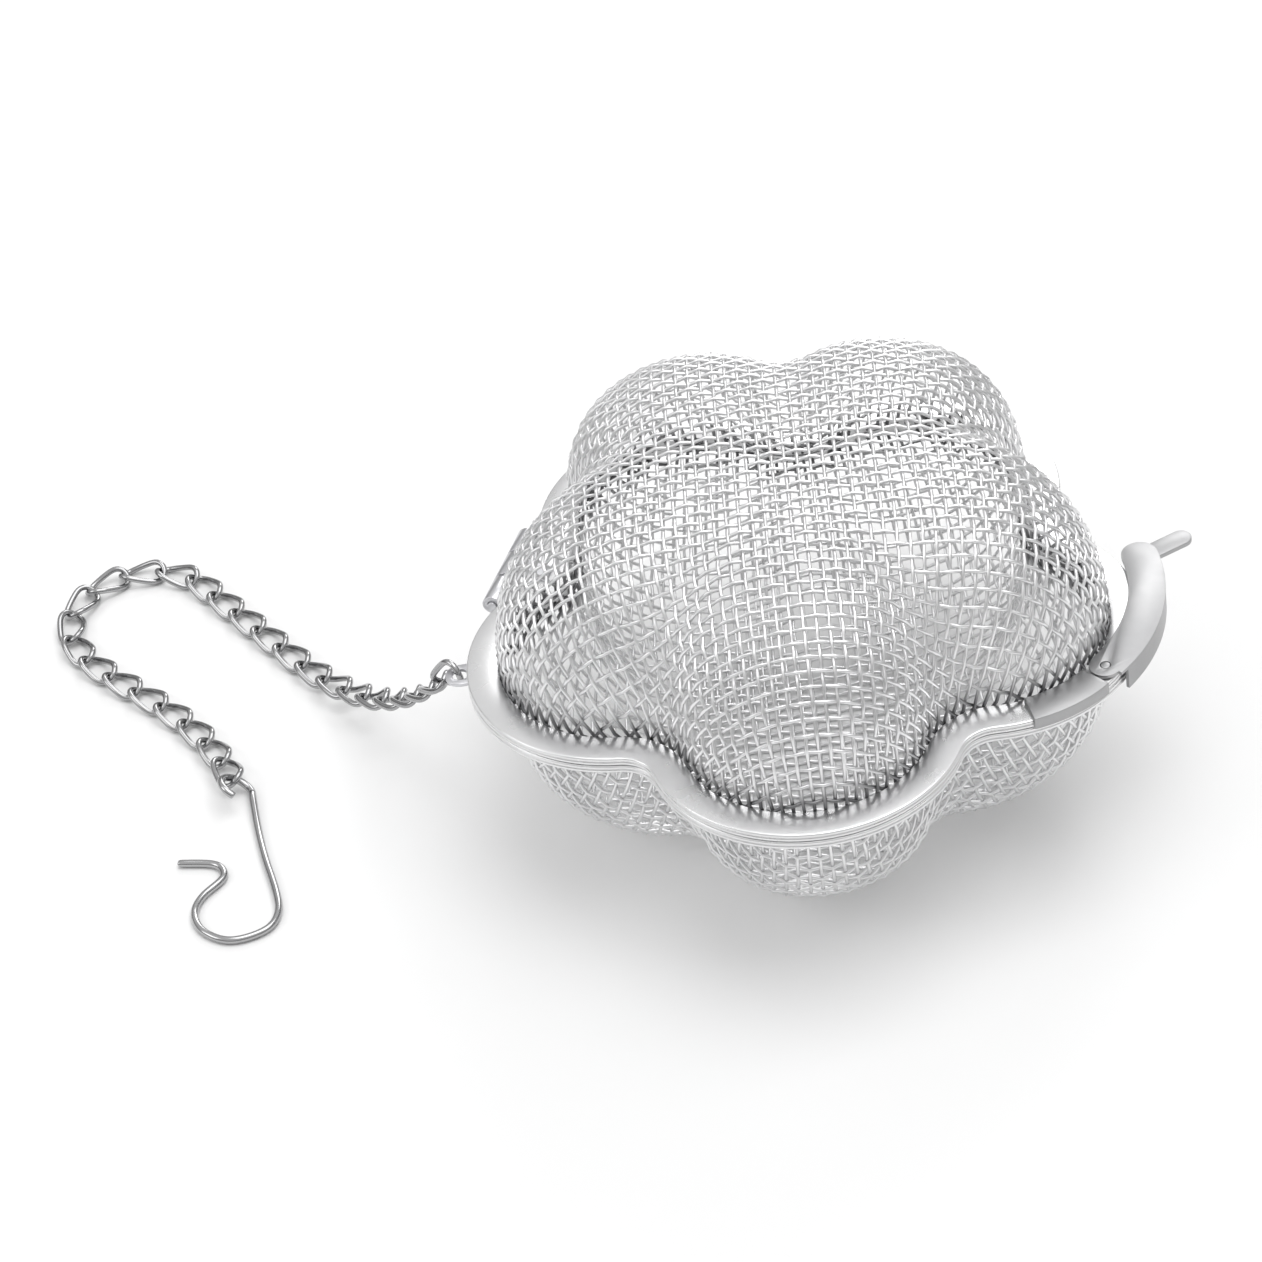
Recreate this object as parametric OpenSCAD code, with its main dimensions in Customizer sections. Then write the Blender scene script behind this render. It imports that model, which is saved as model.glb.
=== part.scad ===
// Flower-shaped mesh tea infuser: two ring-framed wire-mesh halves, hinged, latched, with a chain and hook.
// Frame: +Z up, origin on the standing surface under the flower's centre, +X towards the latch.

/* [Flower outline] */
// Radius of each petal's outer edge
lobe_r = 14.6; // [13.8:0.1:15.2]
// Distance from the flower's centre to each petal's centre
lobe_d = 17.4; // [16.8:0.1:18]
// Radius of the rounding between two petals
notch_r = 3.5; // [2.5:0.1:4.5]

/* [Rims] */
// Width of the folded rim strip
band_w = 3; // [2.6:0.1:3.2]
// Thickness of the folded rim strip
rim_t = 0.8; // [0.6:0.05:0.9]
// Gap between the two closed rims
rim_gap = 0.1; // [0.06:0.02:0.16]

/* [Baskets] */
// Height of each mesh half beyond its rim's outer face
basket_h = 17.7; // [14:0.1:19]
// Thickness of the woven mesh
mesh_t = 0.5; // [0.4:0.05:0.7]
// Squareness of a half from its centre to its edge
plan_power = 3.9; // [2.6:0.1:5]
// Squareness of a half from its rim to its crown
rise_power = 2.4; // [2:0.1:3]

/* [Hinge] */
// Radius of the hinge pin
pin_r = 0.45; // [0.35:0.05:0.5]
// Outer radius of the rolled knuckles
knuckle_r = 1; // [0.85:0.05:1.05]
// Half length of the hinge barrel
hinge_half = 5.2; // [4.4:0.1:5.6]
// Thickness of the sheet in the hinge and latch
sheet_t = 0.35; // [0.3:0.05:0.4]

/* [Latch] */
// Radius of the latch lever's outer wall
lever_r = 19.1; // [18.9:0.1:19.6]
// Width of the latch lever's top face
lever_w = 3.4; // [3:0.1:3.6]
// Width of the thumb tab
tab_w = 2; // [1.6:0.1:2.6]
// Length of the thumb tab beyond the lever
tab_len = 5.6; // [4:0.1:6]

/* [Chain and hook] */
// Distance from one chain link to the next
link_pitch = 3.85; // [3.6:0.05:4]
// Diameter of the chain's wire
link_wire = 0.6; // [0.5:0.02:0.62]
// Outer width of a link
link_w = 3; // [2.8:0.05:3.2]
// Diameter of the hook's wire
hook_wire = 0.75; // [0.6:0.05:0.8]

/* [Hidden] */
LOBES = 5;
SECTOR = 360 / LOBES;
arc_steps = 12;        // straight steps in each petal's arc
notch_steps = 5;       // straight steps in each rounding between petals
arc_turn = 1.5;        // degrees in each straight step of the latch's arcs
wire_sides = 8;        // sides of the chain's and the hook's round wire
basket_steps = 9;      // rings of a mesh half's skin from rim to crown
link_play = 0.12;      // slack between two links' wires
free = 0.05;           // running clearance round the pin and the rivet
bite = 0.15;           // how far the mesh's edge reaches into its folded rim
mesh_seat = 0.35;      // depth of the mesh's edge below its rim's outer face
past = 1;              // how far a cutting shape runs past what it cuts
$fn = 48;              // steps round every full circle of the fittings

plane_z = basket_h + rim_t + rim_gap / 2;         // parting plane of the two rims
rim_low = plane_z - rim_gap / 2 - rim_t;          // underside of the lower rim
rim_top = plane_z + rim_gap / 2 + rim_t;          // top face of the upper rim
crown_h = basket_h + mesh_seat;                   // rise of the mesh from inside its rim

hinge_x = -28.9;                                  // the hinge pin's axis, along Y
lid_knuckle = 1.7;                                // half length of the lid's middle knuckle
leaf_end = -24.6;                                 // where the hinge leaves end on the rims
hinge_relief = -27.6;                             // the rims stop here, clear of the barrel
relief_depth = 4;                                 // how far that relief reaches outwards
relief_gap = 0.3;                                 // gap between the relief's ends and the hinge
knuckle_gap = 0.2;                                // gap between the lid's knuckle and the others
pin_proud = 0.2;                                  // how far the pin stands out of the barrel

lever_c = [14.2, 2.8];                            // centre of the lever's curve
lever_from = -24;                                 // angle of the lever's pivot on that curve
lever_to = 30;                                    // angle of the lever's free end
wall_from = -21;                                  // angles where the lever's wall starts and ends
wall_to = 28.5;
fold = 0.02;                                      // how far the wall stands in from the top face's edge
lip_w = 0.15;                                     // reach of the wall's lower lip towards the centre
pivot_pad = 1.5;                                  // radius of the lever's end round the pivot
pivot_d = 17.25;                                  // distance of the pivot from the curve's centre
rivet_r = 0.45;
rivet_bore_h = 3;                                 // height of the bore from the parting plane
pivot = [lever_c.x + pivot_d * cos(lever_from), lever_c.y + pivot_d * sin(lever_from)];
lever_mid = lever_r - lever_w / 2;                // radius of the middle of the lever's top face
skin = 0.1;                                       // gap between the lever and the rim's faces
tab_t = 0.5;
tab_root = 0.8;                                   // how far the thumb tab reaches back into the lever
tab_turn = 48;                                    // direction of the thumb tab in plan
sleeve_from = -57;                                // angles of the sleeve about its petal's centre
sleeve_to = -26;
sleeve_t = 0.5;                                   // thickness of the sleeve's top
sleeve_inset = 0.3;                               // gap from the rim's inner edge to the sleeve
sleeve_gap = 0.05;                                // gap between the rim's outer edge and the sleeve's wall
sleeve_lift = 0.1;                                // height of that wall's lower edge over the parting plane

lug_turn = 206;                                   // direction of the chain's lug from the centre
lug_reach = 32.3;                                 // distance of the lug's hole from the centre
lug_hole = 0.75;
lug_half = 1.4;
lug_root = 3.2;                                   // length of the lug from its root to its hole
lug_slope = 48;                                   // how steeply the first link leaves the lug
lug_grip = 0.34;                                  // from the middle of the lug's wall back to the joint

sag_reach = 30;                                   // stretch of the hanging chain's catenary
chain_from = 147;                                 // direction in which the chain leaves the lug
chain_turns = [[14, 0], [1, 26], [1, 28], [1, 30], [1, 32], [1, 30], [1, 24], [1, 14], [1, 4], [1, 0],
               [1, -4], [1, -6], [2, -8]];        // [links, degrees that each turns left]
turns = [for (s = chain_turns) for (i = [1:s[0]]) s[1]];
link_count = len(turns);
link_half = (link_pitch + link_wire + link_play) / 2;  // half length of a link along its wire's centre
link_side = (link_w - link_wire) / 2;             // half width of a link along its wire's centre
link_lie = 0.82;                                  // height of the chain's centre line where it lies

// The hook's bends, in plan from the centre of its eye, along the wire from the eye to the tip
hook_bends = [[3.5, -3.8], [5.8, -7.6], [8.3, -11.3], [9.7, -14.1], [9.4, -16.6], [6.6, -18.6], [3.5, -17.9],
              [1.8, -15.8], [1.7, -13.6], [2.5, -11.6], [2.7, -10.5], [2, -9.5], [0.6, -9.2], [-2.4, -9.8]];
hook_steps = 3;        // rings of the wire between two bends
hook_rest = 0.03;      // gap between the flat part of the hook and the surface under it
eye_turn = 30;         // degrees between two points of the hook's eye
eye_open = 300;        // angle at which the eye ends, short of the shank
eye_r = 1.7;           // radius of the hook's eye along its wire's centre
end_lean = 38;         // lean of each link's far end, and of the hook's eye the other way
end_lift = [4, 8];     // how far the last two links lean up to the eye

// Names of the chain's links, from the lug to the hook
link_names = [for (k = [1:link_count]) str("chain_link_", k < 10 ? "0" : "", k)];

function turned(p, a) = [p.x * cos(a) - p.y * sin(a), p.x * sin(a) + p.y * cos(a)];
function unit(v) = v / norm(v);
function sum(v, i = 0) = i < len(v) ? v[i] + sum(v, i + 1) : 0;

// Flower outline: petals of radius r joined by roundings of radius f
function notch_dist(r, f) = lobe_d * cos(SECTOR / 2) + sqrt((r + f) ^ 2 - (lobe_d * sin(SECTOR / 2)) ^ 2);
function petal(r, f) =
    let (n = notch_dist(r, f), c = n * cos(SECTOR / 2), s = n * sin(SECTOR / 2), a = atan2(s, c - lobe_d))
    concat(
        [for (i = [0:arc_steps]) let (t = a * (2 * i / arc_steps - 1)) [lobe_d + r * cos(t), r * sin(t)]],
        [for (i = [1:notch_steps - 1])
            let (t = a + 180 + (SECTOR - 2 * a) * i / notch_steps) [c + f * cos(t), s + f * sin(t)]]);
function flower(r, f) = [for (k = [0:LOBES - 1]) for (p = petal(r, f)) turned(p, k * SECTOR)];
// The same outline, moved inwards from the rim's outer edge
function flower_in(d) = flower(lobe_r - d, notch_r + d);

// Skin of a closed tube: rings of points, each joined to the next and, when closed, the last to the first
module tube(rings, closed = false) {
    n = len(rings);
    m = len(rings[0]);
    last = closed ? n - 1 : n - 2;
    walls = [for (i = [0:last]) for (j = [0:m - 1])
        let (a = i * m, b = ((i + 1) % n) * m, k = (j + 1) % m)
        each [[a + j, a + k, b + k], [a + j, b + k, b + j]]];
    ends = closed ? [] : [[for (j = [m - 1:-1:0]) j], [for (j = [0:m - 1]) (n - 1) * m + j]];
    polyhedron([for (r = rings) each r], concat(walls, ends));
}
// Circle of a wire of radius r round p, whose wire runs along t, with up as the side it starts from
function wire_ring(p, t, up, r, sides) =
    let (w = unit(t), b = unit(cross(w, up)), n = cross(b, w))
    [for (j = [0:sides - 1]) let (a = -360 * j / sides) p + r * (cos(a) * n + sin(a) * b)];
// Ring of a mesh half's skin: the outline scaled towards the centre, at height z
function skin_ring(outline, scale, z) = [for (p = outline) [p.x * scale, p.y * scale, z]];

// One woven half, opening down, from z = 0 up to rise
module basket(rise) {
    outer = flower_in(band_w - bite);
    inner = flower_in(band_w - bite + mesh_t);
    crown = 90 - 90 / (basket_steps + 1);
    function plan(i) = cos(crown * i / basket_steps) ^ (2 / plan_power);
    function lift(i) = (sin(crown * i / basket_steps) / sin(crown)) ^ (2 / rise_power);
    tube(concat(
        [for (i = [basket_steps:-1:0]) skin_ring(outer, plan(i), rise * lift(i))],
        [for (i = [0:basket_steps]) skin_ring(inner, plan(i), (rise - mesh_t) * lift(i))]));
}

// Folded rim strip of one half, cut back beside the hinge
module rim(z) {
    difference() {
        translate([0, 0, z]) linear_extrude(rim_t) difference() {
            polygon(flower_in(0));
            polygon(flower_in(band_w));
        }
        translate([hinge_relief - relief_depth, -hinge_half - relief_gap, z - past])
            cube([relief_depth, 2 * (hinge_half + relief_gap), rim_t + 2 * past]);
        rivet_bore(rivet_r);
    }
}
module rivet_bore(r) {
    translate([pivot.x, pivot.y, plane_z]) cylinder(h = rivet_bore_h, r = r);
}
// Knuckle of the hinge from y0 to y1, before it is bored
module knuckle(y0, y1) {
    translate([hinge_x, y1, plane_z]) rotate([90, 0, 0]) cylinder(h = y1 - y0, r = knuckle_r);
}
module pin_bore() {
    translate([hinge_x, hinge_half + past, plane_z]) rotate([90, 0, 0])
        cylinder(h = 2 * (hinge_half + past), r = pin_r + free);
}
// Leaf of sheet from the barrel to the rim, from y0 to y1, with its lower face at z
module leaf(y0, y1, z) {
    translate([hinge_x, y0, z]) cube([leaf_end - hinge_x, y1 - y0, sheet_t]);
}
// Part of a flat ring between two angles
module band(r_in, r_out, from, to) {
    steps = round((to - from) / arc_turn);
    arc = [for (i = [0:steps]) from + (to - from) * i / steps];
    polygon(concat(
        [for (a = arc) r_out * [cos(a), sin(a)]],
        [for (i = [steps:-1:0]) r_in * [cos(arc[i]), sin(arc[i])]]));
}
module thick_band(r_in, r_out, from, to, z, h) {
    translate([0, 0, z]) linear_extrude(h) band(r_in, r_out, from, to);
}

module lower_rim() { color("silver") rim(rim_low); }
module upper_rim() { color("silver") rim(rim_top - rim_t); }
module lower_basket() {
    color("lightgray") translate([0, 0, rim_low + mesh_seat]) mirror([0, 0, 1]) basket(crown_h);
}
module upper_basket() {
    color("lightgray") translate([0, 0, rim_top - mesh_seat]) basket(crown_h);
}

module hinge_base_leaf() {
    color("darkgray") difference() {
        for (s = [0, 1]) mirror([0, s, 0]) {
            knuckle(lid_knuckle + knuckle_gap, hinge_half);
            leaf(lid_knuckle + knuckle_gap, hinge_half, rim_low - sheet_t);
        }
        pin_bore();
    }
}
module hinge_lid_leaf() {
    color("gray") difference() {
        union() {
            knuckle(-lid_knuckle, lid_knuckle);
            leaf(-lid_knuckle, lid_knuckle, rim_top);
        }
        pin_bore();
    }
}
module hinge_pin() {
    color("dimgray") translate([hinge_x, hinge_half + pin_proud, plane_z]) rotate([90, 0, 0])
        cylinder(h = 2 * (hinge_half + pin_proud), r = pin_r);
}
// Lug under the lower rim, with a hole for the chain
module chain_lug() {
    root = lug_reach - lug_root;
    color("darkgray") rotate([0, 0, lug_turn]) translate([0, 0, rim_low - sheet_t]) difference() {
        union() {
            translate([root, -lug_half, 0]) cube([lug_reach - root, 2 * lug_half, sheet_t]);
            translate([lug_reach, 0, 0]) cylinder(h = sheet_t, r = lug_half);
        }
        translate([lug_reach, 0, -past]) cylinder(h = sheet_t + 2 * past, r = lug_hole);
    }
}

// Raised sleeve on the lid's rim, beside the lever
module catch_sleeve() {
    color("silver") translate([lobe_d, 0, 0]) {
        wall = lobe_r + sleeve_gap;
        low = plane_z + sleeve_lift;
        thick_band(lobe_r - band_w + sleeve_inset, wall + sheet_t, sleeve_from, sleeve_to, rim_top, sleeve_t);
        thick_band(wall, wall + sheet_t, sleeve_from, sleeve_to, low, rim_top + sleeve_lift - low);
    }
}
// Pivot of the lever, flush with the lever's top face
module latch_rivet() {
    color("gray") translate([pivot.x, pivot.y, rim_top - rim_t])
        cylinder(h = rim_t + skin + sheet_t, r = rivet_r);
}
// Channel that folds over both rims, open towards the centre
module latch_lever() {
    low = rim_low - skin - sheet_t;
    high = rim_top + skin;
    wall_h = high + sheet_t / 2 - low;
    color("gainsboro") difference() {
        union() {
            translate([0, 0, high]) linear_extrude(sheet_t) {
                translate(lever_c) {
                    band(lever_r - lever_w, lever_r, lever_from, lever_to);
                    rotate(lever_to) translate([lever_mid, 0]) circle(r = lever_w / 2 - fold);
                }
                translate(pivot) circle(r = pivot_pad);
            }
            translate(lever_c) {
                thick_band(lever_r - sheet_t, lever_r - fold, wall_from, wall_to, low, wall_h);
                thick_band(lever_r - sheet_t - lip_w, lever_r - sheet_t / 2, wall_from + arc_turn / 2,
                    wall_to - arc_turn / 2, low, sheet_t);
            }
        }
        rivet_bore(rivet_r + free);
    }
}
module thumb_tab() {
    root = [lever_c.x + lever_mid * cos(lever_to), lever_c.y + lever_mid * sin(lever_to)];
    color("silver") translate([root.x, root.y, rim_top + skin - tab_t]) rotate([0, 0, tab_turn]) {
        translate([-tab_root, -tab_w / 2, 0]) cube([tab_len + tab_root - tab_w / 2, tab_w, tab_t]);
        translate([tab_len - tab_w / 2, 0, 0]) cylinder(h = tab_t, r = tab_w / 2);
    }
}

// Direction and downward slope of link k, from 0
function heading(k) = k == 0 ? chain_from : heading(k - 1) + turns[k];
lug_at = turned([lug_reach, 0], lug_turn);
lug_wall = (lug_hole + lug_half) / 2;             // from the hole's centre to the middle of the wall round it
chain_start = [lug_at.x + (lug_wall - lug_grip * cos(lug_slope)) * cos(chain_from),
               lug_at.y + (lug_wall - lug_grip * cos(lug_slope)) * sin(chain_from),
               rim_low - sheet_t / 2 + lug_grip * sin(lug_slope)];
drop = chain_start.z - link_lie;
hang = sqrt(drop ^ 2 + 2 * drop * sag_reach);     // length of chain that hangs
function raw_slope(k) = atan(max(0, hang - (k + 0.5) * link_pitch) / sag_reach);
raw_drop = link_pitch * sum([for (k = [0:link_count - 1]) sin(raw_slope(k))]);
function slope(k) = asin(sin(raw_slope(k)) * drop / raw_drop)
    - (k == link_count - 2 ? end_lift[0] : k == link_count - 1 ? end_lift[1] : 0);
function link_way(k) = let (h = heading(k), s = slope(k)) [cos(s) * cos(h), cos(s) * sin(h), -sin(s)];
link_ways = [for (k = [0:link_count - 1]) link_way(k)];
function link_start(k) = k == 0 ? chain_start : link_start(k - 1) + link_pitch * link_ways[k - 1];

// Curb link along X: straight sides and round ends, in a plane that turns from one end to the other
module chain_link(k) {
    from = k == 0 ? 90 : -end_lean;
    bend = 7;              // steps round each end
    run = 4;               // steps along each side
    flat = link_half - link_side;
    function lean(x) = from + (end_lean - from) * (1 + x / link_half) / 2;
    oval = concat(
        [for (i = [0:bend]) let (a = 180 * i / bend - 90) [flat + link_side * cos(a), link_side * sin(a)]],
        [for (i = [1:run - 1]) [flat * (1 - 2 * i / run), link_side]],
        [for (i = [0:bend]) let (a = 180 * i / bend + 90) [link_side * cos(a) - flat, link_side * sin(a)]],
        [for (i = [1:run - 1]) [flat * (2 * i / run - 1), -link_side]]);
    wire = [for (p = oval) [p.x, p.y * cos(lean(p.x)), p.y * sin(lean(p.x))]];
    n = len(wire);
    way = link_start(k) + link_pitch / 2 * link_ways[k];
    color("silver") translate(way) rotate([0, slope(k), heading(k)])
        tube([for (i = [0:n - 1]) wire_ring(wire[i], wire[(i + 1) % n] - wire[(i + n - 1) % n],
            [0, -sin(lean(wire[i].x)), cos(lean(wire[i].x))], link_wire / 2, wire_sides)], closed = true);
}

// Hook: its eye leans across the last link's end, and the rest lies flat
module hook() {
    h = heading(link_count - 1);
    along = [cos(h), sin(h), 0];
    across = [-sin(h) * cos(end_lean), cos(h) * cos(end_lean), -sin(end_lean)];
    chain_end = link_start(link_count - 1) + link_pitch * link_ways[link_count - 1];
    grip = (link_wire + hook_wire) / 2 + link_play - (link_half - link_pitch / 2);
    eye = chain_end + (eye_r - grip) * along;
    flat_z = hook_wire / 2 + hook_rest;
    eye_points = [for (a = [-eye_turn:-eye_turn:-eye_open]) eye + eye_r * (cos(a) * along + sin(a) * across)];
    points = concat(eye_points, [for (p = hook_bends) [eye.x + p.x, eye.y + p.y, flat_z]]);
    n = len(points);
    // Smooth curve through the points: u from 0 to n - 1
    function tangent(i) = (points[min(i + 1, n - 1)] - points[max(i - 1, 0)]) / 2;
    function curve(u) = let (i = min(floor(u), n - 2), t = u - i)
        (2 * t ^ 3 - 3 * t ^ 2 + 1) * points[i] + (t ^ 3 - 2 * t ^ 2 + t) * tangent(i)
        + (3 * t ^ 2 - 2 * t ^ 3) * points[i + 1] + (t ^ 3 - t ^ 2) * tangent(i + 1);
    rings = (n - 1) * hook_steps;
    function way(u) = curve(min(u + 0.1, n - 1)) - curve(max(u - 0.1, 0));
    color("silver") tube([for (i = [0:rings]) let (u = i / hook_steps)
        wire_ring(curve(u), way(u), [0, 0, 1], hook_wire / 2, wire_sides)]);
}

lower_rim();
lower_basket();
upper_rim();
upper_basket();
hinge_base_leaf();
hinge_lid_leaf();
hinge_pin();
chain_lug();
catch_sleeve();
latch_rivet();
latch_lever();
thumb_tab();
for (k = [0:link_count - 1]) chain_link(k);
hook();
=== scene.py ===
"""A tea infuser: woven wire halves in folded rims, with a hinge, a swing latch, a chain and a hook."""

import logging
import math
from collections.abc import Iterable
from dataclasses import dataclass
from enum import Enum
from typing import Any

import bmesh
import bpy
import numpy as np
from mathutils import Matrix, Vector


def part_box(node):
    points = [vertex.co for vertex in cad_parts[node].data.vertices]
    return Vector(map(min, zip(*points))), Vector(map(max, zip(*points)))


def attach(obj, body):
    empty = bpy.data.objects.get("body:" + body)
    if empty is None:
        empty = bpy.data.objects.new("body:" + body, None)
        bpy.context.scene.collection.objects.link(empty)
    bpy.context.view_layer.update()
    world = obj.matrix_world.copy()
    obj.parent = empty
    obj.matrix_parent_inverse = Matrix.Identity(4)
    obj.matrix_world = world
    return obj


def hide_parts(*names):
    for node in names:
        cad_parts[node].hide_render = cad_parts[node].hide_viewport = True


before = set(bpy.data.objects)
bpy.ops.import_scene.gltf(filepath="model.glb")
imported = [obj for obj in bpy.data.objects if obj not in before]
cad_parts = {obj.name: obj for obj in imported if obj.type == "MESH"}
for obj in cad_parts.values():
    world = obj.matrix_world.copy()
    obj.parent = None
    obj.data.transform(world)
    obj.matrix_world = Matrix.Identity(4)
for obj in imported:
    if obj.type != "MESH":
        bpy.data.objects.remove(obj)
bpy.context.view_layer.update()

LOG = logging.getLogger("infuser")
MM = 0.001
PETALS = 5
SECTOR = math.tau / PETALS
WELD = 0.0005 * MM
TINY = 1e-12
SEAT_DEPTH = 0.35 * MM

# Sockets of a Mix node that blends colours
MIX_FACTOR, MIX_FIRST, MIX_SECOND, MIX_RESULT = 0, 6, 7, 2


class Half(Enum):
    """Which half of the infuser: its sign is the way that its dome points."""

    LOWER = -1
    UPPER = 1


# ---------------------------------------------------------------- shader maths


class Shade:
    """A shader socket that takes part in sums and products."""

    def __init__(self, graph: "Graph", socket: bpy.types.NodeSocket) -> None:
        """Wraps socket, which belongs to graph."""
        self.graph = graph
        self.socket = socket

    def _math(self, operation: str, first: Any, second: Any) -> "Shade":
        """Adds a Math node.

        Args:
            operation: the node's operation.
            first: a Shade or a number.
            second: a Shade or a number.

        Returns:
            The node's value.
        """
        return self.graph.add("ShaderNodeMath", {"operation": operation}, {0: first, 1: second}, "Value")

    def __add__(self, other: Any) -> "Shade":
        """Returns self + other."""
        return self._math("ADD", self, other)

    __radd__ = __add__

    def __mul__(self, other: Any) -> "Shade":
        """Returns self * other."""
        return self._math("MULTIPLY", self, other)

    __rmul__ = __mul__

    def __sub__(self, other: Any) -> "Shade":
        """Returns self - other."""
        return self._math("SUBTRACT", self, other)

    def __rsub__(self, other: Any) -> "Shade":
        """Returns other - self."""
        return self._math("SUBTRACT", other, self)


class Graph:
    """A material's or world's node tree, written as calls."""

    def __init__(self, tree: bpy.types.NodeTree) -> None:
        """Empties tree and wraps it."""
        self.tree = tree
        tree.nodes.clear()

    def add(self, kind: str, settings: dict[str, Any], inputs: dict[Any, Any], output: Any) -> Shade:
        """Adds one node.

        Args:
            kind: the node's type.
            settings: its properties, which are set first.
            inputs: values or Shades by socket name or number.
            output: the name or number of the socket to give back.

        Returns:
            That output as a Shade.
        """
        node = self.tree.nodes.new(kind)
        for name, value in settings.items():
            setattr(node, name, value)
        for key, value in inputs.items():
            if isinstance(value, Shade):
                self.tree.links.new(value.socket, node.inputs[key])
            else:
                node.inputs[key].default_value = value
        return Shade(self, node.outputs[output])

    def end(self, kind: str, surface: Shade) -> None:
        """Adds the output node.

        Args:
            kind: the output node's type.
            surface: the shader that it shows.
        """
        node = self.tree.nodes.new(kind)
        self.tree.links.new(surface.socket, node.inputs["Surface"])


def noise(graph: Graph, place: Shade, scale: float, detail: float) -> Shade:
    """Adds a noise pattern.

    Args:
        graph: the node tree.
        place: where the pattern is read.
        scale: how fine it is.
        detail: how many finer layers it has.

    Returns:
        The pattern, from 0 to 1.
    """
    return graph.add("ShaderNodeTexNoise", {}, {"Vector": place, "Scale": scale, "Detail": detail}, "Fac")


def blend(graph: Graph, part: Shade, first: Any, second: Any) -> Shade:
    """Blends two colours.

    Args:
        graph: the node tree.
        part: how much of the second colour shows.
        first: a Shade or a colour.
        second: a Shade or a colour.

    Returns:
        The blended colour.
    """
    return graph.add("ShaderNodeMix", {"data_type": "RGBA"},
                     {MIX_FACTOR: part, MIX_FIRST: first, MIX_SECOND: second}, MIX_RESULT)


# -------------------------------------------------------------------- finishes


@dataclass(frozen=True)
class SteelFinish:
    """Stainless steel with a fine grain, a cloudy tone and soft wear, with optional painted shade that
    darkens the tone in a band round the rim's plane.
    """

    name: str
    bright: tuple[float, float, float]
    dull: tuple[float, float, float]
    roughness: float
    roughness_spread: float
    grain: tuple[float, float, float]
    grain_depth: float
    cloud_scale: float = 90.0
    speck_scale: float = 700.0
    grain_detail: float = 3.0
    cloud_detail: float = 2.0
    speck_detail: float = 4.0
    cloud_in_wear: float = 0.65
    speck_in_wear: float = 0.35
    grain_in_rough: float = 0.6
    wear_in_rough: float = 0.4
    rough_middle: float = 0.5
    grain_in_relief: float = 0.7
    speck_in_relief: float = 0.3
    relief_strength: float = 0.5
    # Painted shade beside the rim: the rim plane's height, how strongly the tone is darkened, how far the
    # darkening reaches past the rim's face, the face's half height and the shade's colour.
    painted_shade_z: float = 0.0
    painted_shade_amount: float = 0.0
    painted_shade_reach: float = 3.4 * MM
    rim_face: float = 0.8 * MM
    shadow: tuple[float, float, float] = (0.06, 0.06, 0.065)

    def build(self) -> bpy.types.Material:
        """Makes the material.

        Returns:
            The finished material.
        """
        material = bpy.data.materials.new(self.name)
        material.use_nodes = True
        graph = Graph(material.node_tree)
        place = graph.add("ShaderNodeTexCoord", {}, {}, "Object")
        drawn = graph.add("ShaderNodeMapping", {}, {"Vector": place, "Scale": self.grain}, "Vector")
        grain = noise(graph, drawn, 1.0, self.grain_detail)
        cloud = noise(graph, place, self.cloud_scale, self.cloud_detail)
        specks = noise(graph, place, self.speck_scale, self.speck_detail)
        wear = cloud * self.cloud_in_wear + specks * self.speck_in_wear
        tone = blend(graph, wear, (*self.bright, 1.0), (*self.dull, 1.0))
        # Painted shade: the tone is blended towards the shadow colour near the rim's plane. It is full within
        # the rim's face and fades out over the reach.
        if self.painted_shade_amount:
            level = graph.add("ShaderNodeSeparateXYZ", {}, {"Vector": place}, "Z")
            painted_shade_part = graph.add("ShaderNodeMapRange", {"interpolation_type": "SMOOTHSTEP"},
                               {"Value": graph.add("ShaderNodeMath", {"operation": "ABSOLUTE"},
                                                   {0: level - self.painted_shade_z}, "Value"),
                                "From Min": self.rim_face, "From Max": self.rim_face + self.painted_shade_reach,
                                "To Min": self.painted_shade_amount, "To Max": 0.0}, "Result")
            tone = blend(graph, painted_shade_part, tone, (*self.shadow, 1.0))
        uneven = grain * self.grain_in_rough + wear * self.wear_in_rough - self.rough_middle
        rough = self.roughness + uneven * self.roughness_spread
        height = grain * self.grain_in_relief + specks * self.speck_in_relief
        relief = graph.add("ShaderNodeBump", {},
                           {"Height": height, "Distance": self.grain_depth,
                            "Strength": self.relief_strength}, "Normal")
        steel = graph.add("ShaderNodeBsdfPrincipled", {},
                          {"Base Color": tone, "Metallic": 1.0, "Roughness": rough, "Normal": relief}, "BSDF")
        graph.end("ShaderNodeOutputMaterial", steel)
        return material


@dataclass(frozen=True)
class FloorFinish:
    """Matt pale board."""

    name: str = "pale_board"
    tone: tuple[float, float, float] = (0.86, 0.86, 0.86)
    roughness: float = 0.8

    def build(self) -> bpy.types.Material:
        """Makes the material.

        Returns:
            The finished material.
        """
        material = bpy.data.materials.new(self.name)
        material.use_nodes = True
        graph = Graph(material.node_tree)
        board = graph.add("ShaderNodeBsdfPrincipled", {},
                          {"Base Color": (*self.tone, 1.0), "Roughness": self.roughness}, "BSDF")
        graph.end("ShaderNodeOutputMaterial", board)
        return material


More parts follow.
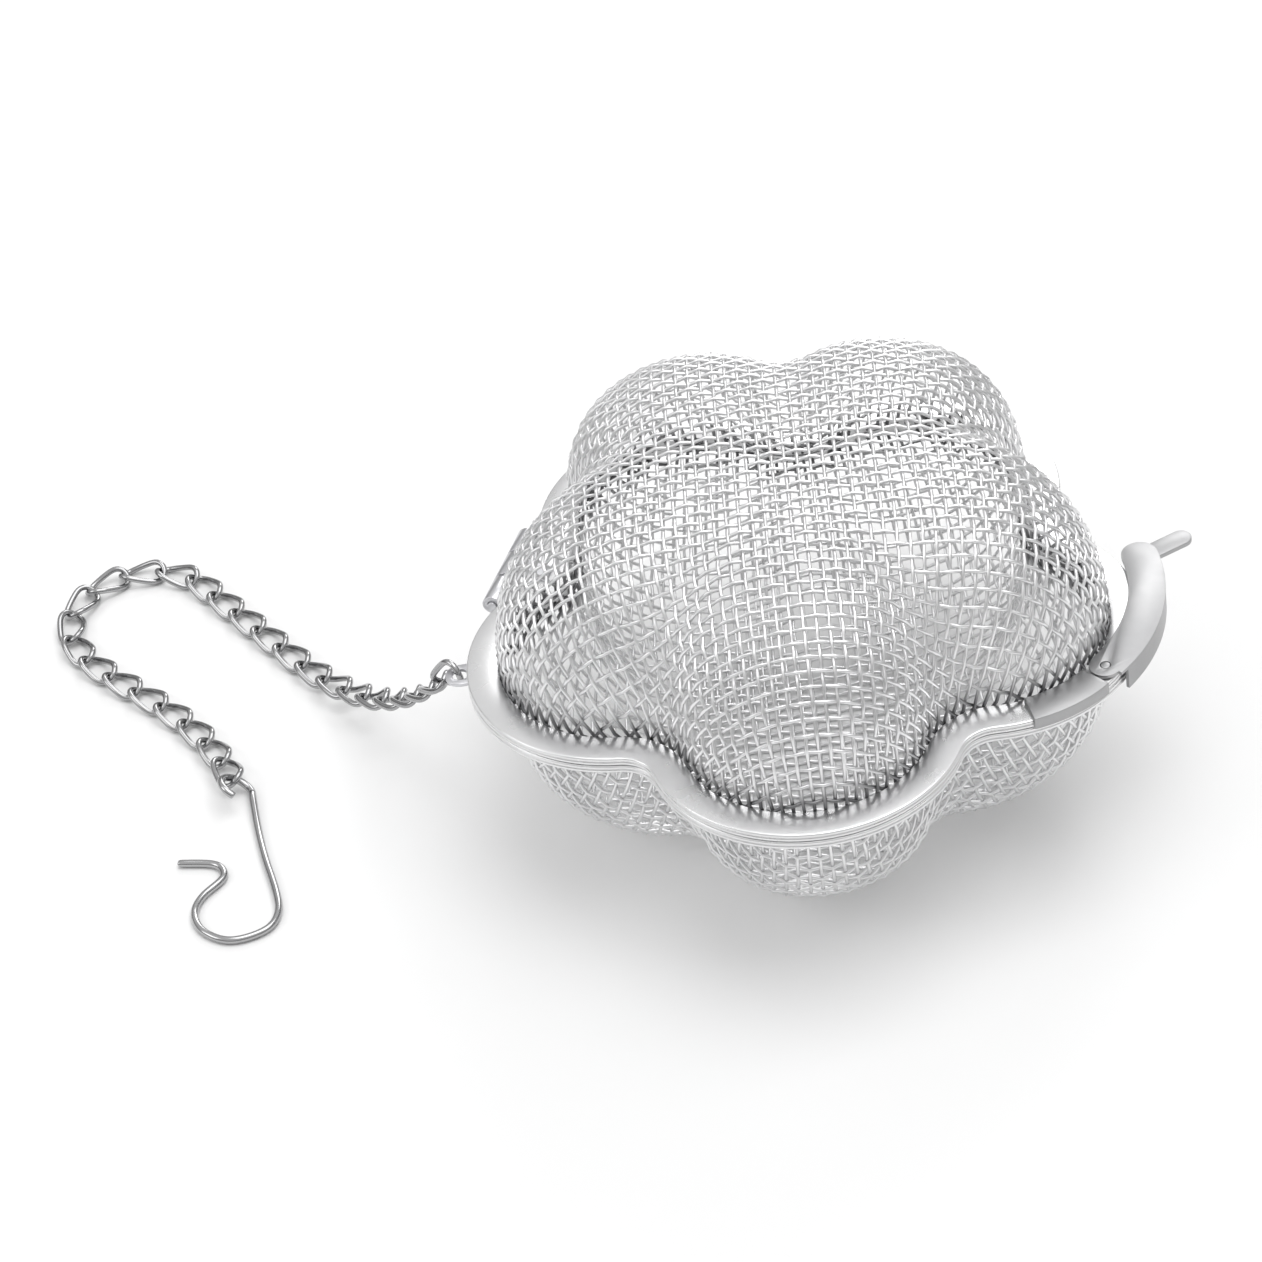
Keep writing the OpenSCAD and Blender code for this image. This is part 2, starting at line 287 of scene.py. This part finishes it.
# The woven cloth gets painted shade in a band round the rims' plane, where the halves meet.
WIRE_CLOTH = SteelFinish("woven_wire", (0.95, 0.95, 0.95), (0.74, 0.74, 0.75), 0.30, 0.12,
                         (900.0, 900.0, 900.0), 0.004 * MM, painted_shade_z=18.55 * MM, painted_shade_amount=0.85)
RIM_STEEL = SteelFinish("satin_rim", (0.90, 0.90, 0.90), (0.72, 0.72, 0.73), 0.28, 0.12,
                        (260.0, 260.0, 2600.0), 0.006 * MM)
SHEET_STEEL = SteelFinish("plain_sheet", (0.70, 0.70, 0.72), (0.56, 0.56, 0.58), 0.30, 0.14,
                          (1500.0, 300.0, 1500.0), 0.006 * MM)
LATCH_STEEL = SteelFinish("satin_latch", (0.46, 0.46, 0.46), (0.34, 0.34, 0.35), 0.40, 0.12,
                          (400.0, 1400.0, 1400.0), 0.005 * MM)
CHAIN_STEEL = SteelFinish("bright_chain", (0.56, 0.56, 0.56), (0.24, 0.24, 0.25), 0.14, 0.10,
                          (800.0, 800.0, 800.0), 0.004 * MM)
HOOK_STEEL = SteelFinish("drawn_hook_wire", (0.58, 0.58, 0.58), (0.28, 0.28, 0.29), 0.15, 0.12,
                         (700.0, 700.0, 1800.0), 0.005 * MM)


# -------------------------------------------------------------- piece handling


def finished(mesh: bmesh.types.BMesh, name: str, material: bpy.types.Material,
             sharp: float) -> bpy.types.Object:
    """Turns a bmesh into a shown object with its place in its mesh.

    Args:
        mesh: the shape, which is freed.
        name: the piece's name.
        material: its finish.
        sharp: the angle past which an edge is shaded sharp, in radians.

    Returns:
        The new object.
    """
    data = bpy.data.meshes.new(name)
    mesh.to_mesh(data)
    mesh.free()
    data.materials.append(material)
    data.shade_smooth()
    data.set_sharp_from_angle(angle=sharp)
    piece = bpy.data.objects.new(name, data)
    bpy.context.scene.collection.objects.link(piece)
    return piece


def welded_copy(node: str) -> bmesh.types.BMesh:
    """Copies a CAD node's mesh and joins its loose triangles.

    Args:
        node: the node's name.

    Returns:
        The joined copy.
    """
    mesh = bmesh.new()
    mesh.from_mesh(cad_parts[node].data)
    bmesh.ops.remove_doubles(mesh, verts=mesh.verts, dist=WELD)
    return mesh


def seated(piece: bpy.types.Object, body: str, nodes: Iterable[str]) -> None:
    """Puts a piece on its body in place of its CAD nodes.

    Args:
        piece: the piece.
        body: the body that it rides on.
        nodes: the CAD nodes that it stands for.
    """
    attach(piece, body)
    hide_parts(*nodes)
    LOG.info("%s rides on %s", piece.name, body)


@dataclass
class SheetPart:
    """A pressed sheet part: its CAD solid with rounded edges."""

    node: str
    body: str
    slot: str
    edge_r: float
    crease: float = math.radians(40)
    flat: float = math.radians(1)
    segments: int = 2

    def build(self, material: bpy.types.Material) -> bpy.types.Object:
        """Rounds the solid's edges and dresses it.

        Args:
            material: the part's finish.

        Returns:
            The finished piece.
        """
        mesh = welded_copy(self.node)
        bmesh.ops.dissolve_limit(mesh, angle_limit=self.flat, verts=mesh.verts, edges=mesh.edges)
        creases = [e for e in mesh.edges if e.is_manifold and e.calc_face_angle() > self.crease]
        bmesh.ops.bevel(mesh, geom=creases, offset=self.edge_r, offset_type="OFFSET",
                        segments=self.segments, profile=0.5, affect="EDGES", clamp_overlap=True, material=-1)
        piece = finished(mesh, f"{self.node}_shell", material, self.crease)
        seated(piece, self.body, [self.node])
        return piece


@dataclass
class RoundWire:
    """A bent wire: its CAD solid made smooth and round."""

    node: str
    body: str
    slot: str
    wire_r: float
    sides: int = 8
    levels: int = 1
    face_turn: float = math.radians(40)
    shape_turn: float = math.radians(60)

    def build(self, material: bpy.types.Material) -> bpy.types.Object:
        """Smooths the wire without thinning it.

        Args:
            material: the wire's finish.

        Returns:
            The finished piece.
        """
        mesh = welded_copy(self.node)
        bmesh.ops.join_triangles(mesh, faces=mesh.faces, angle_face_threshold=self.face_turn,
                                 angle_shape_threshold=self.shape_turn)
        # Smoothing pulls a ring of this many sides in by a known part of its radius.
        kept = (2 + math.cos(math.tau / self.sides)) / 3
        mesh.normal_update()
        for vert in mesh.verts:
            vert.co += vert.normal * self.wire_r * (1 / kept - 1)
        piece = finished(mesh, f"{self.node}_wire", material, math.pi)
        smooth = piece.modifiers.new("round", "SUBSURF")
        smooth.levels = smooth.render_levels = self.levels
        seated(piece, self.body, [self.node])
        return piece


# ---------------------------------------------------------------- the infuser


@dataclass
class Flower:
    """Outline of petals joined by roundings, drawn inset from the rim's edge."""

    petal_r: float = 14.6 * MM
    petal_d: float = 17.4 * MM
    notch_r: float = 3.5 * MM

    @property
    def notch_d(self) -> float:
        """Distance from the centre to each rounding's centre.

        Returns:
            The distance in metres.
        """
        half = SECTOR / 2
        span = self.petal_r + self.notch_r
        return self.petal_d * math.cos(half) + math.sqrt(span**2 - (self.petal_d * math.sin(half)) ** 2)

    @property
    def petal_turn(self) -> float:
        """Half of the angle that each petal's arc turns through.

        Returns:
            The angle in radians.
        """
        half = SECTOR / 2
        return math.atan2(self.notch_d * math.sin(half), self.notch_d * math.cos(half) - self.petal_d)

    def reach(self, turn: np.ndarray, inset: float) -> np.ndarray:
        """Distance from the centre to the outline.

        Args:
            turn: directions in radians.
            inset: how far inside the rim's edge the outline is.

        Returns:
            The distance in each direction.
        """
        r, f, half = self.petal_r - inset, self.notch_r + inset, SECTOR / 2
        off = np.abs((turn + half) % SECTOR - half)
        away = half - off
        meet_x = self.petal_d + r * math.cos(self.petal_turn)
        meet = math.atan2(r * math.sin(self.petal_turn), meet_x)
        petal = self.petal_d * np.cos(off) + np.sqrt(np.maximum(r**2 - (self.petal_d * np.sin(off)) ** 2, 0))
        dip = np.sqrt(np.maximum(f**2 - (self.notch_d * np.sin(away)) ** 2, 0))
        notch = self.notch_d * np.cos(away) - dip
        return np.where(off < meet, petal, notch)


@dataclass
class WovenHalf:
    """One dome of plain-woven wire cloth."""

    half: Half
    flower: Flower
    seat: float
    inset: float = 3.0 * MM
    rise: float = 18.05 * MM
    skin: float = 0.25 * MM
    pitch: float = 1.15 * MM
    wire_r: float = 0.17 * MM
    wave_h: float = 0.15 * MM
    draw: float = 0.6
    weave_turn: float = math.radians(21)
    plan_power: float = 3.9
    rise_power: float = 2.4
    profile_steps: int = 96
    wire_rounding: int = 1
    nudge: float = 0.02 * MM

    def _profile(self, reach: np.ndarray) -> tuple[np.ndarray, np.ndarray, np.ndarray]:
        """Profiles of the dome from its crown to its rim.

        Args:
            reach: distance to the rim, for each point.

        Returns:
            Length of undrawn cloth for each point and step, and the plan and height fractions by step.
        """
        plan = np.sin(np.linspace(0, math.pi / 2, self.profile_steps))
        lift = (1 - plan**self.plan_power) ** (1 / self.rise_power)
        run = np.diff(plan)[None, :] * (reach[:, None] - self.skin)
        fall = np.diff(lift)[None, :] * (self.rise - self.skin)
        arc = np.concatenate([np.zeros((len(reach), 1)), np.cumsum(np.hypot(run, fall), axis=1)], axis=1)
        flat = plan[None, :] * (reach[:, None] - self.skin)
        return self.draw * arc + (1 - self.draw) * flat, plan, lift

    def _drape(self, cloth: np.ndarray) -> tuple[np.ndarray, np.ndarray]:
        """Lays flat cloth on the dome.

        Args:
            cloth: points on the flat cloth, from its middle.

        Returns:
            The places on the dome, and how far each lies inside the cloth's cut edge.
        """
        turn = np.arctan2(cloth[:, 1], cloth[:, 0])
        away = np.hypot(cloth[:, 0], cloth[:, 1])
        reach = self.flower.reach(turn + self.weave_turn, self.inset)
        length, plan, lift = self._profile(reach)
        inside = length[:, -1] - away
        along = np.minimum(away, length[:, -1])
        step = np.clip((length < along[:, None]).sum(axis=1), 1, self.profile_steps - 1)
        rows = np.arange(len(along))
        before, after = length[rows, step - 1], length[rows, step]
        part = np.clip((along - before) / np.maximum(after - before, TINY), 0, 1)
        flat = (plan[step - 1] + part * (plan[step] - plan[step - 1])) * (reach - self.skin)
        height = (lift[step - 1] + part * (lift[step] - lift[step - 1])) * (self.rise - self.skin)
        spot = turn + self.weave_turn
        up = self.seat + self.half.value * height
        return np.stack([flat * np.cos(spot), flat * np.sin(spot), up], axis=1), inside

    def _outward(self, cloth: np.ndarray) -> np.ndarray:
        """Directions that point out of the dome.

        Args:
            cloth: points on the flat cloth.

        Returns:
            A unit direction for each point.
        """
        shifts = [np.array([self.nudge, 0]), np.array([0, self.nudge])]
        across, along = (self._drape(cloth + s)[0] - self._drape(cloth - s)[0] for s in shifts)
        out = np.cross(across, along) * self.half.value
        return out / np.maximum(np.linalg.norm(out, axis=1, keepdims=True), TINY)

    def _wires(self, lengthwise: bool) -> list[np.ndarray]:
        """Centre lines of the wires of one direction.

        Args:
            lengthwise: True for the warp, False for the weft.

        Returns:
            One array of points for each wire.
        """
        limit = self.flower.petal_d + self.flower.petal_r + self.rise
        count = int(limit / self.pitch)
        run = np.arange(-2 * count, 2 * count + 1) * self.pitch / 2
        wires: list[np.ndarray] = []
        for index in range(-count, count + 1):
            side = np.full_like(run, index * self.pitch)
            cloth = np.stack([side, run] if lengthwise else [run, side], axis=1)
            places, inside = self._drape(cloth)
            over = (1 if lengthwise else -1) * (-1) ** (index % 2)
            wave = over * self.wave_h * np.cos(math.pi * run / self.pitch)
            places = places + self._outward(cloth) * wave[:, None]
            kept = np.flatnonzero(inside > 0)
            for stretch in np.split(kept, np.flatnonzero(np.diff(kept) > 1) + 1):
                if len(stretch) > 2:
                    wires.append(places[stretch[0] - 1:stretch[-1] + 2])
        return wires

    def _strung(self, name: str, wires: list[np.ndarray],
                material: bpy.types.Material) -> bpy.types.Object:
        """Draws wires as one curve object.

        Args:
            name: the piece's name.
            wires: the centre lines.
            material: the wires' finish.

        Returns:
            The curve object.
        """
        curve = bpy.data.curves.new(name, "CURVE")
        curve.dimensions = "3D"
        curve.bevel_depth = self.wire_r
        curve.bevel_resolution = self.wire_rounding
        curve.use_fill_caps = True
        for points in wires:
            line = curve.splines.new("POLY")
            line.points.add(len(points) - 1)
            line.points.foreach_set("co", np.column_stack([points, np.ones(len(points))]).ravel())
            line.use_smooth = True
        curve.materials.append(material)
        piece = bpy.data.objects.new(name, curve)
        bpy.context.scene.collection.objects.link(piece)
        return piece

    def build(self, body: str, node: str, material: bpy.types.Material) -> None:
        """Weaves the cloth and seats it.

        Args:
            body: the body that it rides on.
            node: the CAD node that it stands for.
            material: the wires' finish.
        """
        name = self.half.name.lower()
        for thread, lengthwise in (("warp", True), ("weft", False)):
            piece = self._strung(f"{name}_{thread}", self._wires(lengthwise), material)
            seated(piece, body, [node])


@dataclass
class FoldedRim:
    """A strip folded over the cloth's edge, swept round the flower."""

    half: Half
    flower: Flower
    low: float
    width: float = 3.0 * MM
    thick: float = 0.8 * MM
    fold_r: float = 0.16 * MM
    hem_r: float = 0.08 * MM
    seam: float = 0.07 * MM
    arc_steps: int = 36
    notch_steps: int = 14
    corner_steps: int = 3
    weld: float = 0.002 * MM
    crease: float = math.radians(50)
    relief_x: float = -27.6 * MM
    relief_half: float = 5.5 * MM
    relief_depth: float = 4.0 * MM
    relief_h: float = 3.2 * MM

    def _corner(self, x: float, z: float, radius: float, start: float) -> list[tuple[float, float]]:
        """Rounds one corner of the strip's section.

        Args:
            x: place of the rounding's centre, outwards.
            z: place of the rounding's centre, upwards.
            radius: radius of the rounding.
            start: direction in which it starts.

        Returns:
            Points along the rounding.
        """
        turns = [start + math.pi / 2 * i / self.corner_steps for i in range(self.corner_steps + 1)]
        return [(x + radius * math.cos(t), z + radius * math.sin(t)) for t in turns]

    def _section(self) -> list[tuple[float, float]]:
        """Section of the strip, with the fold's seam on its outer side.

        Returns:
            Points round it, as distances outwards and upwards from its inner lower corner.
        """
        out, fold, hem = self.width, self.fold_r, self.hem_r
        middle = self.thick / 2
        points = self._corner(hem, hem, hem, math.pi)
        points += self._corner(out - fold, fold, fold, -math.pi / 2)
        points += [(out, middle - self.seam), (out - self.seam, middle), (out, middle + self.seam)]
        points += self._corner(out - fold, self.thick - fold, fold, 0)
        return points + self._corner(hem, self.thick - hem, hem, math.pi / 2)

    def _swept(self) -> bmesh.types.BMesh:
        """Sweeps the section round all petals and roundings.

        Returns:
            The closed ring.
        """
        flower, mesh = self.flower, bmesh.new()
        start = Matrix.Rotation(-flower.petal_turn, 4, "Z")
        centre = Vector((flower.petal_d, 0, 0))
        inner = flower.petal_r - self.width
        loop = [mesh.verts.new(centre + start @ Vector((inner + x, 0, self.low + z)))
                for x, z in self._section()]
        edges = [mesh.edges.new((a, b)) for a, b in zip(loop, loop[1:] + loop[:1])]
        geom: list[Any] = loop + edges
        for petal in range(PETALS):
            turn = petal * SECTOR
            hub = Matrix.Rotation(turn, 4, "Z") @ centre
            notch = Matrix.Rotation(turn + SECTOR / 2, 4, "Z") @ Vector((flower.notch_d, 0, 0))
            bends = ((hub, 2 * flower.petal_turn, self.arc_steps),
                     (notch, SECTOR - 2 * flower.petal_turn, self.notch_steps))
            for middle, angle, steps in bends:
                swept = bmesh.ops.spin(mesh, geom=geom, cent=middle, axis=(0, 0, 1), angle=angle,
                                       steps=steps, use_merge=False, use_duplicate=False)
                geom = swept["geom_last"]
        bmesh.ops.remove_doubles(mesh, verts=mesh.verts, dist=self.weld)
        bmesh.ops.recalc_face_normals(mesh, faces=mesh.faces)
        return mesh

    def _relieved(self, piece: bpy.types.Object) -> None:
        """Cuts the strip back beside the hinge.

        Args:
            piece: the rim's object, whose mesh is replaced.
        """
        tool = bmesh.new()
        size = (self.relief_depth, 2 * self.relief_half, self.relief_h)
        place = Vector((self.relief_x - self.relief_depth / 2, 0, self.low + self.thick / 2))
        bmesh.ops.create_cube(tool, size=1.0, matrix=Matrix.LocRotScale(place, None, size))
        cutter = finished(tool, "relief_tool", piece.data.materials[0], math.pi)
        cut = piece.modifiers.new("relief", "BOOLEAN")
        cut.operation, cut.solver, cut.object = "DIFFERENCE", "EXACT", cutter
        ready = piece.evaluated_get(bpy.context.evaluated_depsgraph_get())
        data = bpy.data.meshes.new_from_object(ready)
        piece.modifiers.clear()
        piece.data = data
        bpy.data.objects.remove(cutter)

    def build(self, body: str, node: str, material: bpy.types.Material) -> None:
        """Makes and seats the rim.

        Args:
            body: the body that it rides on.
            node: the CAD node that it stands for.
            material: the strip's finish.
        """
        piece = finished(self._swept(), f"{self.half.name.lower()}_folded_rim", material, self.crease)
        self._relieved(piece)
        seated(piece, body, [node])


@dataclass
class Fittings:
    """The hinge, the lug and the latch."""

    hinge_edge: float = 0.05 * MM
    latch_edge: float = 0.07 * MM

    def build(self) -> None:
        """Makes and seats every fitting."""
        sheet, latch = SHEET_STEEL.build(), LATCH_STEEL.build()
        for node, body in (("hinge_base_leaf", "lower_half"), ("hinge_pin", "lower_half"),
                           ("chain_lug", "lower_half"), ("hinge_lid_leaf", "lid")):
            SheetPart(node, body, "hinge", self.hinge_edge).build(sheet)
        for node, body in (("catch_sleeve", "lid"), ("latch_rivet", "lid"),
                           ("latch_lever", "latch"), ("thumb_tab", "latch")):
            SheetPart(node, body, "latch", self.latch_edge).build(latch)


@dataclass
class ChainAndHook:
    """The chain's links and the hook at its end."""

    link_r: float = 0.3 * MM
    hook_r: float = 0.375 * MM
    hook_levels: int = 2

    def build(self) -> None:
        """Makes and seats every link and the hook."""
        bright = CHAIN_STEEL.build()
        for node in sorted(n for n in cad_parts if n.startswith("chain_link_")):
            RoundWire(node, node.replace("chain_", ""), "chain", self.link_r).build(bright)
        RoundWire("hook", "hook", "hook", self.hook_r, levels=self.hook_levels).build(HOOK_STEEL.build())


# ----------------------------------------------------------- floor, light, view


@dataclass(frozen=True)
class Softbox:
    """A square soft light: where it hangs, the length of its side and its power in watts."""

    name: str
    place: tuple[float, float, float]
    side: float
    power: float


SOFTBOXES = (Softbox("key", (0.15, 0.1, 0.9), 0.8, 4.2),
             Softbox("fill", (-0.6, -0.35, 0.5), 0.4, 0.9),
             Softbox("back", (-0.1, 0.8, 0.45), 0.4, 1.6))


@dataclass
class Studio:
    """A pale floor, soft lights and the camera."""

    room_low: float = -0.1
    room_high: float = 0.7
    room_dim: float = 0.12
    room_strength: float = 0.8
    near: float = 10 * MM
    far: float = 100.0
    floor_size: float = 4.0
    aim_z: float = 19.4 * MM
    camera_turn: float = math.radians(-68.77)
    camera_rise: float = math.radians(39.945)
    camera_away: float = 437.34 * MM
    camera_roll: float = math.radians(7)
    lens: float = 134.7
    sensor: float = 36.0
    frame_right: float = 0.135
    frame_up: float = 0.0249

    def _floor(self) -> None:
        """Lays the floor."""
        mesh = bmesh.new()
        bmesh.ops.create_grid(mesh, x_segments=1, y_segments=1, size=self.floor_size / 2)
        finished(mesh, "floor", FloorFinish().build(), math.pi)

    def _hang(self, box: Softbox) -> None:
        """Hangs a soft light that faces the infuser.

        Args:
            box: the light.
        """
        data = bpy.data.lights.new(box.name, "AREA")
        data.energy, data.size = box.power, box.side
        light = bpy.data.objects.new(box.name, data)
        light.location = box.place
        aim = Vector((0, 0, self.aim_z)) - light.location
        light.rotation_euler = aim.to_track_quat("-Z", "Y").to_euler()
        bpy.context.scene.collection.objects.link(light)

    def _surround(self) -> None:
        """Makes the pale room that the steel reflects, darker towards its floor."""
        world = bpy.data.worlds.new("pale_room")
        world.use_nodes = True
        graph = Graph(world.node_tree)
        way = graph.add("ShaderNodeTexCoord", {}, {}, "Generated")
        height = graph.add("ShaderNodeSeparateXYZ", {}, {"Vector": way}, "Z")
        level = graph.add("ShaderNodeMapRange", {},
                          {"Value": height, "From Min": self.room_low, "From Max": self.room_high,
                           "To Min": self.room_dim, "To Max": 1.0}, "Result")
        glow = graph.add("ShaderNodeBackground", {},
                         {"Color": (1, 1, 1, 1), "Strength": level * self.room_strength}, "Background")
        graph.end("ShaderNodeOutputWorld", glow)
        bpy.context.scene.world = world
        bpy.context.scene.view_settings.view_transform = "Standard"

    def _camera(self) -> None:
        """Places the camera and aims it so that the infuser stands right of the middle."""
        turn, rise = self.camera_turn, self.camera_rise
        back = Vector((math.cos(rise) * math.cos(turn), math.cos(rise) * math.sin(turn), math.sin(rise)))
        stand = Vector((0, 0, self.aim_z)) + back * self.camera_away
        side = Vector((-math.sin(turn), math.cos(turn), 0))
        over = back.cross(side)
        roll = Matrix.Rotation(self.camera_roll, 3, back)
        side, over = roll.inverted() @ side, roll.inverted() @ over
        spread = self.sensor / self.lens
        back = (back + spread * (self.frame_right * side + self.frame_up * over)).normalized()
        side = over.cross(back).normalized()
        over = back.cross(side)
        data = bpy.data.cameras.new("camera")
        data.lens, data.sensor_width = self.lens, self.sensor
        data.clip_start, data.clip_end = self.near, self.far
        camera = bpy.data.objects.new("camera", data)
        camera.matrix_world = Matrix.Translation(stand) @ Matrix((side, over, back)).transposed().to_4x4()
        bpy.context.scene.collection.objects.link(camera)
        bpy.context.scene.camera = camera

    def build(self) -> None:
        """Sets up the whole studio."""
        self._floor()
        for box in SOFTBOXES:
            self._hang(box)
        self._surround()
        self._camera()


def main() -> None:
    """Builds the infuser and the studio."""
    logging.basicConfig(level=logging.INFO, format="%(message)s")
    flower = Flower()
    cloth, strip = WIRE_CLOTH.build(), RIM_STEEL.build()
    lower_low, upper_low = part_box("lower_rim")[0].z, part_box("upper_rim")[0].z
    upper_seat = upper_low + FoldedRim.thick - SEAT_DEPTH
    WovenHalf(Half.LOWER, flower, lower_low + SEAT_DEPTH).build("lower_half", "lower_basket", cloth)
    WovenHalf(Half.UPPER, flower, upper_seat).build("lid", "upper_basket", cloth)
    FoldedRim(Half.LOWER, flower, lower_low).build("lower_half", "lower_rim", strip)
    FoldedRim(Half.UPPER, flower, upper_low).build("lid", "upper_rim", strip)
    Fittings().build()
    ChainAndHook().build()
    Studio().build()


if __name__ == "__main__":
    main()
